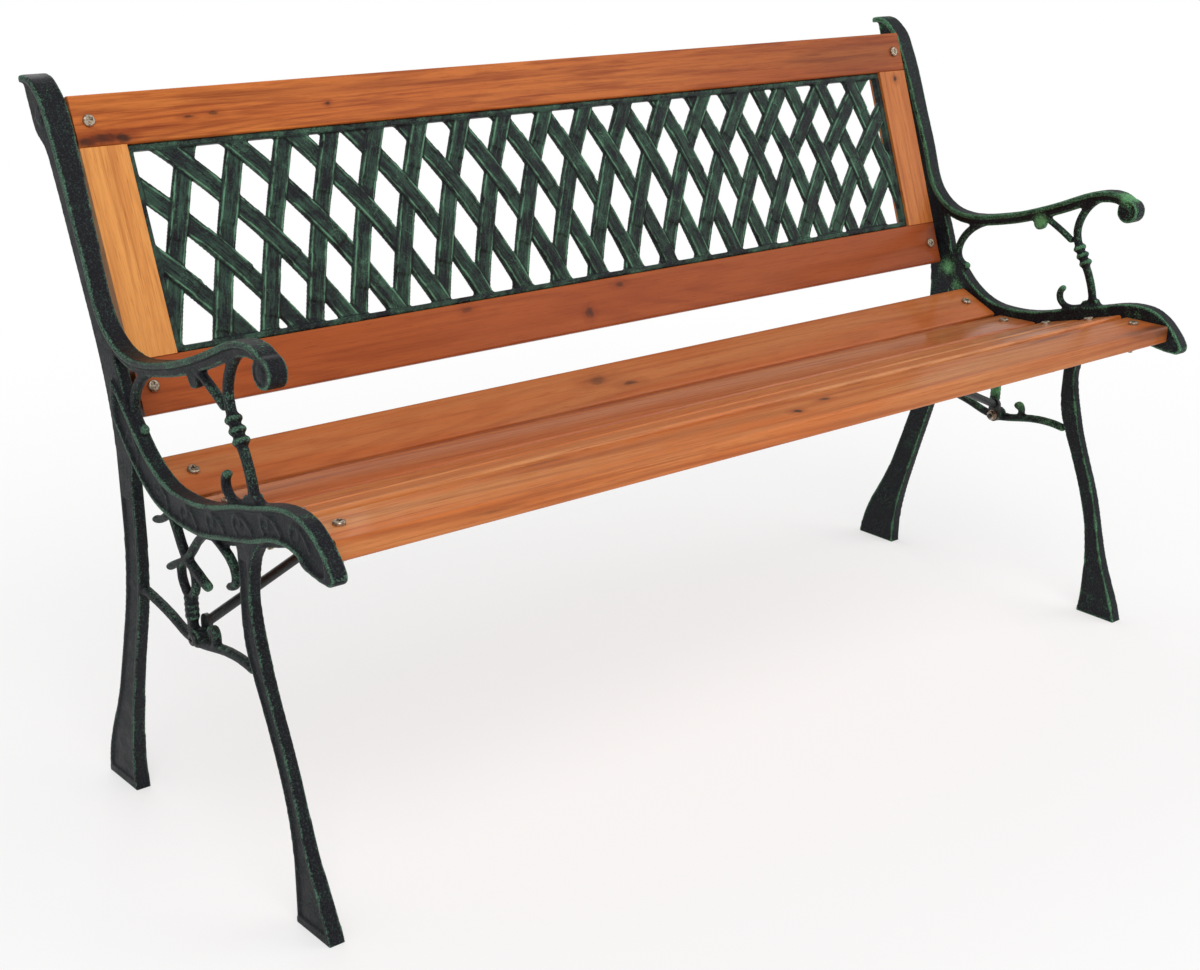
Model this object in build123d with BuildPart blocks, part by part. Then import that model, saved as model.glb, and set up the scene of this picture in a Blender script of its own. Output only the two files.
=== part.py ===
from build123d import *
import math
import os

os.makedirs("parts", exist_ok=True)

# ---------------------------------------------------------------- overall sizes (mm)
overall_width = 1220.0      # over the outer rims of the two end castings
overall_depth = 522.0       # tip of the back cap to the tip of the seat nose
overall_height = 723.0      # floor to the top of the back cap

# ---------------------------------------------------------------- end castings
back_rim_width = 26.0       # width of the flange beside the back, across the bench
arm_rim_width = 20.0        # width of the arm
band_width = 17.0           # width of the seat band
web_thickness = 12.0        # plate of posts and legs
web_setback = 4.0           # web outer face behind the rim outer face
band_setback = 3.5          # floor of the seat band behind the rim outer face
arm_rim_below = 560.0       # the flange has the width of the arm below this height
back_rim_above = 690.0      # and the width of the back rim above this height
rim_thickness = 5.0         # thickness of the seat band rims
flange_thickness = 6.5      # thickness of the back and arm flange
rib_depth = 8.0             # rib hanging under the arm flange
rib_thickness = 11.0
leg_recess = 2.0            # depth of the dished outer face of the legs
leg_margin = 4.5            # border left around the dished face
foot_border = 9.0           # border left under the dished faces
foot_thickness = 17.0       # leg thickness at the floor
foot_taper_height = 160.0   # height over which the foot thins to the web
roll_radius = 14.0          # rolled end of the arm
eye_radius = 6.0
eye_dish = 1.2              # dish around the eye
eye_border = 2.6
relief_height = 1.4         # running scroll standing out of the seat band
relief_line = 3.2
relief_count = 7
relief_pitch = 49.0
relief_start = 128.0        # first scroll of the band, forward of the rear feet
boss_radius = 8.0
scroll_width = 10.0         # width of the thick scroll work
thin_scroll_width = 7.6     # width of the thin scroll work
scroll_thickness = 9.0      # across the bench
hub_thickness = 13.0        # boss in the middle of the stretcher, for the brace bolt
hub_inset = 2.0             # boss inner face standing in from the web
lug_length = 29.0           # lugs and ledge reaching in past the ends of the back wood
lug_height = 36.0
lug_thickness = 5.0
ledge_thickness = 5.5
ledge_root = 6.0            # rise of the ledge where it joins the seat band
ledge_setback = 22.0        # front end of the ledge behind the front of the seat

# ---------------------------------------------------------------- wooden back frame
rail_thickness = 20.0
top_rail_height = 49.5
lower_rail_height = 54.0
stile_width = 48.0
wood_end_gap = 1.0          # between wood ends and the castings
wood_round = 2.5            # rounded long edges of rails
tenon_thickness = 8.0
tenon_width = 28.0
tenon_length = 18.0
joint_clearance = 0.25

# ---------------------------------------------------------------- lattice panel
panel_set_back = 3.0        # panel face behind the wood face
panel_rim = 6.0
panel_thickness = 9.0
panel_clearance = 0.5
tongue_thickness = 3.0
tongue_depth = 5.0
strap_width = 19.9
strap_thickness = 5.0
weave_height = 2.2          # flat strap faces behind the panel face
pad_set_back = 0.6          # passing-over lengths behind the panel face
pad_margin = 1.2            # passing-over lengths narrower than the straps
strap_pitch = 56.5
strap_first = 18.2          # centre of the strap nearest the middle
strap_shift = 4.2           # middle of the pattern to one side of the panel's middle
strap_spread = 0.468        # growth of the pitch towards the flat end
strap_recovery = 0.028      # slowing of that growth
strap_run = 96.3            # sideways travel of the middle strap over the panel height
strap_fan = 0.0642          # how fast the straps steepen from the flat end
strap_fan_slowing = 0.003
strap_bow = 7.8             # bow of the middle strap out of its chord
strap_bow_fall = 0.753      # how fast the straps straighten from the flat end
strap_bow_slowing = 0.03

# ---------------------------------------------------------------- seat slats
slat_thickness = 20.0
slat_gap = 7.0
slat_round = 3.0
slat_bolt_share = 0.46      # bolt place across a slat, from its rear edge

# ---------------------------------------------------------------- fasteners
bolt_diameter = 6.0
bolt_hole = 6.6
bolt_head_diameter = 12.0
bolt_head_height = 3.6
recess_width = 1.6          # cross recess of the heads
recess_length = 6.4
recess_depth = 1.5
nut_across_flats = 10.0
nut_height = 5.0
washer_diameter = 14.0
washer_thickness = 1.5
bolt_inset = 15.0           # bolt centre in from the ends of the back wood
bolt_tail = 3.0             # thread standing past the nut
brace_bolt_head_diameter = 13.0
screw_diameter = 4.0
screw_hole = 4.4
screw_length = 14.0
screw_head_diameter = 8.5
screw_head_height = 2.6

# ---------------------------------------------------------------- brace rods
rod_diameter = 10.0
tab_width = 17.0
tab_thickness = 4.0
tab_length = 14.0           # bolt or screw centre to the end of the rod
brace_reach = 242.0         # brace screw in from the ends of the seat slats

# ---------------------------------------------------------------- derived positions
rim_outer = overall_width / 2
back_rim_inner = rim_outer - back_rim_width
arm_rim_inner = rim_outer - arm_rim_width
band_inner = rim_outer - band_width
lug_inner = back_rim_inner - lug_length
web_outer = rim_outer - web_setback
web_inner = web_outer - web_thickness
foot_inner = web_outer - foot_thickness
mid_web = web_outer - web_thickness / 2
hub_inner = web_inner - hub_inset
hub_outer = hub_inner + hub_thickness
wood_half = back_rim_inner - wood_end_gap
slat_half = band_inner - wood_end_gap
bolt_x = wood_half - bolt_inset

pattern_depth = 522.0       # the casting pattern is drawn at these sizes
pattern_height = 723.0
pattern_overhang = 41.0     # cap tip behind the rear feet
pattern_floor = -4.0        # floor level in the pattern
depth_scale = overall_depth / pattern_depth
height_scale = overall_height / pattern_height
foot_y = overall_depth / 2 - pattern_overhang * depth_scale


def at(u, z):
    """Pattern point: u forward of the rear feet, z above the floor, as sketch (y, z)."""
    return (foot_y - u * depth_scale, (z - pattern_floor) * height_scale)


def run_of(points):
    return [at(u, z) for u, z in points]


# ---------------------------------------------------------------- casting outlines
post_rear = [(-38, 713), (-35.5, 703), (-28.5, 685), (-22, 670), (-15, 663), (-6, 657),
             (3, 643), (38, 556), (66, 484), (78, 445), (87, 397), (89, 335), (87, 276),
             (78, 222), (56, 150), (38, 99), (17, 57), (5, 28), (-1, -4)]
post_front_low = [(61, -4), (63, 50), (74, 99), (94, 170), (111, 234), (117, 296), (117, 352)]
post_front_mid = [(117, 352), (123, 385), (124, 412), (119, 436), (111, 458), (99, 486)]
flange_line = [(-41, 717), (-33, 719), (-17, 716.5), (-7, 710), (4, 699.5), (11, 688),
               (18.8, 673), (31.5, 645), (46.5, 607), (59, 577), (70, 548), (78.5, 524),
               (89, 507), (102, 495.5), (117, 487.5), (132, 484), (149, 483.2), (174, 486),
               (196, 490.5), (217, 495.5), (249, 505.5), (288, 520), (310, 529.5),
               (333, 538), (355, 542)]
arm_curl = [(355, 542), (372, 540.5), (386, 533.5), (395, 522)]
roll_at = (384, 521)
band_top = [(97, 452), (107, 446), (121, 430), (132, 418), (153, 397), (185, 377.5), (200, 373.2),
            (220, 371.4), (249, 372.6), (288, 380.5), (322, 391), (356, 399), (392, 408.5),
            (417, 411), (437, 408.5), (457, 398), (470.5, 385.5), (478.5, 375), (480.9, 368),
            (478, 363), (470, 361.5)]
band_low = [(92, 419), (99, 411), (127, 379), (150, 360), (175, 347), (200, 342), (242, 339.7),
            (265, 342.5), (299, 350), (328, 356.7), (356, 364), (378, 372), (397, 375.5),
            (415, 375.5), (427, 373)]
nose_low = [(427, 373), (433, 366.5), (446, 363.5), (458, 361.8), (470, 361.5)]
front_leg_rear = [(313, 360), (317, 340), (317, 293), (321, 252), (331, 227), (347, 193),
                  (364, 152), (376, 115), (383, 74), (385, 37), (383, -4)]
front_leg_front = [(441, -4), (431, 24), (414, 61), (401, 98), (385, 152), (368, 193),
                   (354, 227), (345, 255), (337, 286), (335, 303), (337, 322), (342, 342),
                   (352, 357), (368, 369)]

# ---------------------------------------------------------------- scroll-work centre lines
top_scroll = [(205, 486), (185, 481), (166, 474), (148, 464), (135, 451), (128, 437),
              (128, 424), (134, 416), (143, 413)]
fork_back = [(252, 499), (270, 491), (286, 483), (303, 473)]
fork_front = [(350, 534), (330, 524), (317, 508), (311, 490), (313, 474)]
arm_post = [(313, 473), (319, 461), (328, 446), (335, 433), (341, 418), (344, 400), (340, 388)]
arm_hook = [(299, 411), (295, 403), (298, 394), (307, 389), (322, 390), (337, 395)]
lobe_back = [(153, 327), (161, 329), (171, 334), (183, 343)]
branch_left = [(187, 340), (195, 326), (202, 313), (211, 303), (223, 297), (236, 291), (246, 287)]
branch_right = [(258, 341), (237, 331), (224, 318), (213, 307), (201, 299), (187, 292), (174, 285)]
side_scroll = [(263, 344), (278, 338), (292, 331), (301, 321), (302, 310), (291, 302)]
drop_left = [(205, 300), (196, 290), (197, 279), (208, 266)]
drop_right = [(214, 302), (223, 290), (222, 278), (212, 266)]
stretcher = [(84, 244), (112, 242), (140, 238), (172, 231), (196, 224), (217, 222), (240, 225),
             (264, 230), (290, 233), (322, 231)]
low_hook = [(232, 226), (246, 226.5), (254, 232), (256, 240), (251, 246)]
scroll_lines = [(line, scroll_width) for line in (top_scroll, fork_front, stretcher, arm_post, branch_left)]
scroll_lines += [(line, thin_scroll_width) for line in (fork_back, arm_hook, lobe_back, branch_right,
                                                        side_scroll, drop_left,
                                                        drop_right, low_hook)]
hub_at = (219, 226)
hook_ball = (250, 244.5)    # ball at the end of the low hook
hook_ball_radius = 4.8
hub_radius = 9.0
baluster_at = 210.5
baluster_rings = [264, 258, 252, 246]
arm_beads = [(317, 465), (322.5, 456.5), (328, 448)]
bead_axis = (-11, 17)       # direction of the arm support through its beads
bead_ring = 5.0
bead_section = 2.9
cap_boss = (-6, 684)
lobe_drop = (254, 487)      # rounded drop under the arm, ball of the low hook
lobe_radius = 8.5
relief_scroll = [(-2, -3), (2.5, -4.5), (5.5, -1), (3.5, 4), (-2, 6), (-7, 2.5), (-8, -4), (-4, -9.5)]
relief_tail = [(-2, 6), (7, 5), (16, -1), (24, -11)]

# ---------------------------------------------------------------- seat and back references
slat_rear_points = [(146, 385), (209, 360), (275, 362.5), (339, 379.5), (400, 394)]
slat_front_points = [(209, 358), (275, 361.5), (339, 379.5), (400, 397.5), (468, 394)]
back_bolt_top = (14.5, 678.8)
back_bolt_low = (102.7, 440.8)

top_point = Vector(*at(*back_bolt_top))
low_point = Vector(*at(*back_bolt_low))
back_span = (top_point - low_point).length
rake = math.atan2(top_point.X - low_point.X, top_point.Y - low_point.Y)
panel_height = back_span - top_rail_height / 2 - lower_rail_height / 2
panel_half = wood_half - stile_width

# back plane: x to the right, y up along the rake, z towards the sitter
back_plane = Plane(origin=(0, low_point.X, low_point.Y), x_dir=(1, 0, 0),
                   z_dir=(0, -math.cos(rake), math.sin(rake)))
panel_low = lower_rail_height / 2
panel_top = panel_low + panel_height


def slat_plane(index):
    """Plane on the top face of a slat: x along the bench, z up out of the wood."""
    rear = at(*slat_rear_points[index])
    front = at(*slat_front_points[index])
    tilt = math.atan2(front[1] - rear[1], rear[0] - front[0])
    return Plane(origin=(0, rear[0], rear[1]), x_dir=(1, 0, 0),
                 z_dir=(0, math.sin(tilt), math.cos(tilt)))


def slat_width(index):
    rear = at(*slat_rear_points[index])
    front = at(*slat_front_points[index])
    return math.hypot(front[1] - rear[1], rear[0] - front[0]) - slat_gap


def slat_bolt_plane(index, side, depth):
    """Plane at a slat bolt, below the slat face by depth."""
    base = slat_plane(index)
    shift = -base.y_dir * (slat_width(index) * slat_bolt_share) - base.z_dir * depth
    origin = base.origin + shift + Vector(side * bolt_x, 0, 0)
    return Plane(origin=origin, x_dir=(1, 0, 0), z_dir=base.z_dir)


def back_bolt_plane(point, side, depth):
    """Plane at a back bolt, behind the wood face by depth."""
    origin = Vector(side * bolt_x, point.X, point.Y) - back_plane.z_dir * depth
    return Plane(origin=origin, x_dir=(1, 0, 0), z_dir=back_plane.z_dir)


def beside(points, amount):
    """Pattern points moved sideways by amount, to the right of their run, as sketch points."""
    moved = []
    for before, (u, z), after in zip(points[:1] + points, points, points[1:] + points[-1:]):
        run, rise = after[0] - before[0], after[1] - before[1]
        share = amount / math.hypot(run, rise)
        moved.append(at(u + rise * share, z - run * share))
    return moved


def band_between(points, near, far):
    """Closed band between two lines beside the same pattern points, drawn inside a BuildLine."""
    near_line = beside(points, near)
    far_line = beside(points, far)
    Spline(*near_line)
    Line(near_line[-1], far_line[-1])
    Spline(*reversed(far_line))
    Line(far_line[0], near_line[0])


def relief_stroke(place, stroke):
    """Pattern points of one relief stroke, turned to follow the seat band."""
    u, z, slope = band_middle(place)
    turned = []
    for forward, up in stroke:
        turned.append(at(u + forward * math.cos(slope) - up * math.sin(slope),
                         z + forward * math.sin(slope) + up * math.cos(slope)))
    return turned


def height_on(points, u):
    """Height of a pattern line at u, read by straight steps."""
    for (u0, z0), (u1, z1) in zip(points, points[1:]):
        if u0 <= u <= u1:
            return z0 + (z1 - z0) * (u - u0) / (u1 - u0)
    return points[-1][1]


def band_middle(u):
    """Middle of the seat band at u, with its slope."""
    middle = [(height_on(band_top, v) + height_on(band_low, v)) / 2 for v in (u - 12, u, u + 12)]
    return u, middle[1] + 1, math.atan2(middle[2] - middle[0], 24)


def ledge_line(drop):
    """Undersides of the slats as one stepped line, lowered by drop."""
    line = []
    for index in range(len(slat_rear_points)):
        under = slat_plane(index).offset(-slat_thickness)
        reach = slat_width(index) - (ledge_setback if index == len(slat_rear_points) - 1 else 0)
        front = under.origin - under.y_dir * reach
        line.append((under.origin.Y, under.origin.Z - drop))
        line.append((front.Y, front.Z - drop))
    return line


under_flange = beside(flange_line[1:14], flange_thickness / 2)
recess_top = beside(band_top[1:-4], rim_thickness)
recess_low = beside(band_low[1:] + nose_low[2:4] + [(468, 362)], -rim_thickness)
dish_low = pattern_floor + foot_border


# ================================================================ end castings
def web_outline():
    """Closed outline of the back post and the rear leg, drawn inside a BuildLine."""
    Spline(*run_of(post_rear))
    Line(at(*post_rear[-1]), at(*post_front_low[0]))
    Spline(*run_of(post_front_low))
    Spline(*run_of(post_front_mid))
    Line(at(*post_front_mid[-1]), under_flange[-1])
    Spline(*reversed(under_flange))
    Line(under_flange[0], at(*post_rear[0]))


# flange in front of the back post, running out along the arm and narrowing to it
with BuildPart() as flange:
    with BuildSketch(Plane.YZ.offset(back_rim_inner)):
        with BuildLine():
            band_between(flange_line + arm_curl[1:], 0, flange_thickness)
        make_face()
        with Locations(at(*roll_at)):
            Circle(roll_radius)
    extrude(amount=back_rim_width)
    with BuildSketch(Plane.XZ.offset(-overall_depth)):
        with BuildLine():
            Polyline((back_rim_inner - 1, 0), (arm_rim_inner, 0), (arm_rim_inner, arm_rim_below),
                     (back_rim_inner, back_rim_above), (back_rim_inner - 1, back_rim_above),
                     close=True)
        make_face()
    extrude(amount=2 * overall_depth, mode=Mode.SUBTRACT)

with BuildPart() as right_end_casting:
    # back post and rear leg
    with BuildSketch(Plane.YZ.offset(foot_inner)):
        with BuildLine():
            web_outline()
        make_face()
    extrude(amount=foot_thickness)
    # front leg
    with BuildSketch(Plane.YZ.offset(foot_inner)):
        with BuildLine():
            Spline(*run_of(front_leg_rear))
            Line(at(*front_leg_rear[-1]), at(*front_leg_front[0]))
            Spline(*run_of(front_leg_front))
            Line(at(*front_leg_front[-1]), at(*front_leg_rear[0]))
        make_face()
    extrude(amount=foot_thickness)
    # thin the posts down to the web, leaving the feet thick
    with BuildSketch(Plane.XZ.offset(-overall_depth)):
        with BuildLine():
            Polyline((foot_inner - 1, 0), (foot_inner, 0), (web_inner, foot_taper_height),
                     (web_inner, overall_height + 1), (foot_inner - 1, overall_height + 1), close=True)
        make_face()
    extrude(amount=2 * overall_depth, mode=Mode.SUBTRACT)
    # dished outer faces of the legs
    with BuildSketch(Plane.YZ.offset(web_outer - leg_recess)):
        with BuildLine():
            Spline(*[at(u + leg_margin, z) for u, z in post_rear[11:18]],
                   at(post_rear[18][0] + leg_margin + 2, dish_low))
            Line(at(post_rear[18][0] + leg_margin + 2, dish_low),
                 at(post_front_low[0][0] - leg_margin, dish_low))
            Spline(at(post_front_low[0][0] - leg_margin, dish_low),
                   *[at(u - leg_margin, z) for u, z in post_front_low[1:6]],
                   at(post_front_low[5][0] - leg_margin, post_rear[11][1]))
            Line(at(post_front_low[5][0] - leg_margin, post_rear[11][1]),
                 at(post_rear[11][0] + leg_margin, post_rear[11][1]))
        make_face()
        with BuildLine():
            Spline(*[at(u + leg_margin * 0.9, z) for u, z in front_leg_rear[1:10]],
                   at(front_leg_rear[10][0] + leg_margin, dish_low))
            Line(at(front_leg_rear[10][0] + leg_margin, dish_low),
                 at(front_leg_front[0][0] - leg_margin - 3, dish_low))
            Spline(at(front_leg_front[0][0] - leg_margin - 3, dish_low),
                   *[at(u - leg_margin * 0.9, z) for u, z in front_leg_front[1:11]],
                   at(front_leg_front[10][0] - leg_margin, front_leg_rear[1][1]))
            Line(at(front_leg_front[10][0] - leg_margin, front_leg_rear[1][1]),
                 at(front_leg_rear[1][0] + leg_margin * 0.9, front_leg_rear[1][1]))
        make_face()
    extrude(amount=leg_recess + 1, mode=Mode.SUBTRACT)
    # seat band
    with BuildSketch(Plane.YZ.offset(band_inner)):
        with BuildLine():
            Spline(*run_of(band_top))
            Spline(*run_of(reversed(nose_low)))
            Spline(*run_of(reversed(band_low)))
            Line(at(*band_low[0]), at(*band_top[0]))
        make_face()
    extrude(amount=band_width)
    # recess between the two rims of the band
    with BuildSketch(Plane.YZ.offset(rim_outer - band_setback)):
        with BuildLine():
            Spline(*recess_top)
            Line(recess_top[-1], recess_low[-1])
            Spline(*reversed(recess_low))
            Line(recess_low[0], recess_top[0])
        make_face()
    extrude(amount=band_setback + 1, mode=Mode.SUBTRACT)
    # flange in front of the back post and along the arm
    add(flange.part)
    # rib under the arm
    with BuildSketch(Plane.YZ.offset(mid_web - rib_thickness / 2)):
        with BuildLine():
            band_between(flange_line[13:] + arm_curl[1:3], flange_thickness / 2,
                         flange_thickness + rib_depth)
        make_face()
    extrude(amount=rib_thickness)
    # dished eye on both faces of the rolled arm end
    for face_x, outward in ((rim_outer, 1), (arm_rim_inner, -1)):
        with BuildSketch(Plane.YZ.offset(face_x - outward * eye_dish)):
            with Locations(at(*roll_at)):
                Circle(roll_radius - eye_border)
                Circle(eye_radius, mode=Mode.SUBTRACT)
        extrude(amount=outward * (eye_dish + 1), mode=Mode.SUBTRACT)
    # scroll work: broad flat ribbons with a narrower, deeper core
    for width_share, thickness in ((1.0, scroll_thickness * 0.5), (0.6, scroll_thickness)):
        with BuildSketch(Plane.YZ.offset(mid_web - thickness / 2)):
            for centre_line, width in scroll_lines:
                with BuildLine():
                    Spline(*run_of(centre_line))
                trace(line_width=width * width_share)
                with Locations(at(*centre_line[0]), at(*centre_line[-1])):
                    Circle(width * width_share / 2)
        extrude(amount=thickness)
    # rounded drop under the arm, baluster core, hub of the stretcher, base of the arm post
    with BuildSketch(Plane.YZ.offset(mid_web - scroll_thickness / 2)):
        with Locations(at(*lobe_drop)):
            Circle(lobe_radius)
        with Locations(at(*hook_ball)):
            Circle(hook_ball_radius)
        with BuildLine():
            Polyline(at(baluster_at - 4.5, 228), at(baluster_at + 4.5, 228), at(baluster_at + 4.5, 269),
                     at(baluster_at - 4.5, 269), close=True)
        make_face()
        with BuildLine():
            Polyline(at(332, 401), at(352, 406), at(360, 394), at(326, 388), close=True)
        make_face()
    extrude(amount=scroll_thickness)
    with BuildSketch(Plane.YZ.offset(hub_inner)):
        with Locations(at(*hub_at)):
            Circle(hub_radius)
    extrude(amount=hub_thickness)
    # turned rings
    for height in baluster_rings:
        with Locations((mid_web, *at(baluster_at, height))):
            Torus(bead_ring - 0.6, bead_section)
    for bead in arm_beads:
        ring_plane = Plane(origin=(mid_web, *at(*bead)), x_dir=(1, 0, 0),
                           z_dir=(0, -bead_axis[0], bead_axis[1]))
        with Locations(ring_plane.location):
            Torus(bead_ring, bead_section + 0.5)
    # boss on the outer side of the back post
    with BuildSketch(Plane.YZ.offset(web_outer)):
        with Locations(at(*cap_boss)):
            Circle(boss_radius)
    extrude(amount=2.5)
    # running scroll standing out of the seat band
    with BuildSketch(Plane.YZ.offset(rim_outer - band_setback)):
        for index in range(relief_count):
            place = relief_start + relief_pitch * index
            for stroke in (relief_scroll, relief_tail):
                with BuildLine():
                    Spline(*relief_stroke(place, stroke))
                trace(line_width=relief_line)
    extrude(amount=relief_height)
    # ledge that carries the seat slats
    with BuildSketch(Plane.YZ.offset(lug_inner)):
        with BuildLine():
            Polyline(*ledge_line(0), *reversed(ledge_line(ledge_thickness)), close=True)
        make_face()
    extrude(amount=mid_web - lug_inner)
    with BuildSketch(Plane.YZ.offset(band_inner)):
        with BuildLine():
            Polyline(*ledge_line(-ledge_root), *reversed(ledge_line(ledge_thickness)), close=True)
        make_face()
    extrude(amount=mid_web - band_inner)
    # lugs that carry the back frame
    for point in (top_point, low_point):
        lug_plane = back_bolt_plane(point, 1, rail_thickness + lug_thickness)
        with BuildSketch(lug_plane):
            with BuildLine():
                Polyline((lug_inner - bolt_x, -lug_height / 2),
                         (web_inner + 4 - bolt_x, -lug_height / 2),
                         (web_inner + 4 - bolt_x, lug_height / 2),
                         (lug_inner - bolt_x, lug_height / 2), close=True)
            make_face()
        extrude(amount=lug_thickness)
    # bolt holes
    for point in (top_point, low_point):
        with BuildSketch(back_bolt_plane(point, 1, rail_thickness + lug_thickness + 5)):
            Circle(bolt_hole / 2)
        extrude(amount=lug_thickness + 10, mode=Mode.SUBTRACT)
    for index in range(len(slat_rear_points)):
        with BuildSketch(slat_bolt_plane(index, 1, slat_thickness + ledge_thickness + 6)):
            Circle(bolt_hole / 2)
        extrude(amount=ledge_thickness + 12, mode=Mode.SUBTRACT)
    with BuildSketch(Plane.YZ.offset(hub_inner - 1)):
        with Locations(at(*hub_at)):
            Circle(bolt_hole / 2)
    extrude(amount=hub_thickness + 2, mode=Mode.SUBTRACT)
right_end_casting.part.label = "right_end_casting"
export_step(right_end_casting.part, "parts/right_end_casting.step")

with BuildPart() as left_end_casting:
    add(mirror(right_end_casting.part, about=Plane.YZ))
left_end_casting.part.label = "left_end_casting"
export_step(left_end_casting.part, "parts/left_end_casting.step")

# ================================================================ wooden back frame
# cross section plane: x behind the wood face, y up the rake from the lower bolts
frame_section = Plane(origin=(-wood_half, low_point.X, low_point.Y), x_dir=-back_plane.z_dir,
                      z_dir=(1, 0, 0))
groove_start = panel_set_back + (panel_thickness - tongue_thickness) / 2 - joint_clearance
groove_width = tongue_thickness + 2 * joint_clearance
groove_depth = tongue_depth + 0.5
stile_middle = panel_half + stile_width / 2
tenon_start = (rail_thickness - tenon_thickness) / 2


def rail_section(low, high):
    """Rounded rail section, drawn inside a BuildSketch on the frame section plane."""
    with Locations((rail_thickness / 2, (low + high) / 2)):
        RectangleRounded(rail_thickness, high - low, wood_round)


with BuildPart() as top_back_rail:
    with BuildSketch(frame_section):
        rail_section(panel_top, panel_top + top_rail_height)
    extrude(amount=2 * wood_half)
    with BuildSketch(frame_section.offset(stile_width - groove_depth)):
        with Locations((groove_start + groove_width / 2, panel_top + groove_depth / 2 - 0.5)):
            Rectangle(groove_width, groove_depth + 1)
    extrude(amount=2 * (panel_half + groove_depth), mode=Mode.SUBTRACT)
    with BuildSketch(back_plane.offset(-tenon_start + joint_clearance)):
        for side in (-1, 1):
            with Locations((side * stile_middle, panel_top + tenon_length / 2)):
                Rectangle(tenon_width + 2 * joint_clearance, tenon_length + 2 * joint_clearance)
    extrude(amount=-tenon_thickness - 2 * joint_clearance, mode=Mode.SUBTRACT)
    for side in (-1, 1):
        with BuildSketch(back_bolt_plane(top_point, side, rail_thickness + 1)):
            Circle(bolt_hole / 2)
        extrude(amount=rail_thickness + 2, mode=Mode.SUBTRACT)
top_back_rail.part.label = "top_back_rail"
export_step(top_back_rail.part, "parts/top_back_rail.step")

with BuildPart() as lower_back_rail:
    with BuildSketch(frame_section):
        rail_section(-lower_rail_height / 2, lower_rail_height / 2)
    extrude(amount=2 * wood_half)
    with BuildSketch(frame_section.offset(stile_width - groove_depth)):
        with Locations((groove_start + groove_width / 2, panel_low - groove_depth / 2 + 0.5)):
            Rectangle(groove_width, groove_depth + 1)
    extrude(amount=2 * (panel_half + groove_depth), mode=Mode.SUBTRACT)
    with BuildSketch(back_plane.offset(-tenon_start + joint_clearance)):
        for side in (-1, 1):
            with Locations((side * stile_middle, panel_low - tenon_length / 2)):
                Rectangle(tenon_width + 2 * joint_clearance, tenon_length + 2 * joint_clearance)
    extrude(amount=-tenon_thickness - 2 * joint_clearance, mode=Mode.SUBTRACT)
    for side in (-1, 1):
        with BuildSketch(back_bolt_plane(low_point, side, rail_thickness + 1)):
            Circle(bolt_hole / 2)
        extrude(amount=rail_thickness + 2, mode=Mode.SUBTRACT)
lower_back_rail.part.label = "lower_back_rail"
export_step(lower_back_rail.part, "parts/lower_back_rail.step")

with BuildPart() as right_back_stile:
    with BuildSketch(back_plane.offset(-rail_thickness)):
        with Locations((stile_middle, panel_low + panel_height / 2)):
            Rectangle(stile_width, panel_height)
    extrude(amount=rail_thickness)
    with BuildSketch(back_plane.offset(-tenon_start - tenon_thickness)):
        with Locations((stile_middle, panel_low + panel_height / 2)):
            Rectangle(tenon_width, panel_height + 2 * tenon_length)
    extrude(amount=tenon_thickness)
    with BuildSketch(back_plane.offset(-groove_start)):
        with Locations((panel_half + groove_depth / 2 - 0.5, panel_low + panel_height / 2)):
            Rectangle(groove_depth + 1, panel_height)
    extrude(amount=-groove_width, mode=Mode.SUBTRACT)
right_back_stile.part.label = "right_back_stile"
export_step(right_back_stile.part, "parts/right_back_stile.step")

with BuildPart() as left_back_stile:
    add(mirror(right_back_stile.part, about=Plane.YZ))
left_back_stile.part.label = "left_back_stile"
export_step(left_back_stile.part, "parts/left_back_stile.step")


# ================================================================ lattice panel
panel_face = back_plane.offset(-panel_set_back)
panel_middle = panel_low + panel_height / 2
panel_size = (2 * (panel_half - panel_clearance), panel_height - 2 * panel_clearance)


def strap_middle(number):
    """Sideways place of a strap at mid height, counted from the middle strap."""
    return (strap_first + strap_pitch * number - strap_spread * number ** 2
            + strap_recovery * number ** 3)


def strap_travel(number):
    """Sideways travel of a strap over the panel height."""
    return strap_run * math.exp(-strap_fan * number + strap_fan_slowing * number ** 2)


def strap_at(number, share, family):
    """Point of a strap at a share of the height from the top; family 1 leans one way, -1 the other."""
    bow = strap_bow - strap_bow_fall * number + strap_bow_slowing * number ** 2
    across = (strap_middle(number) + strap_travel(number) * (share - 0.5)
              + bow * (4 * share * (1 - share) - 2 / 3))
    return (strap_shift + family * across, panel_top - share * panel_height)


def crossing(first, second):
    """Share of the height at which strap first of family 1 meets strap second of family -1."""
    low_share, high_share = -0.3, 1.3
    for _ in range(30):
        share = (low_share + high_share) / 2
        if strap_at(first, share, 1)[0] > strap_at(second, share, -1)[0]:
            high_share = share
        else:
            low_share = share
    return share


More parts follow.
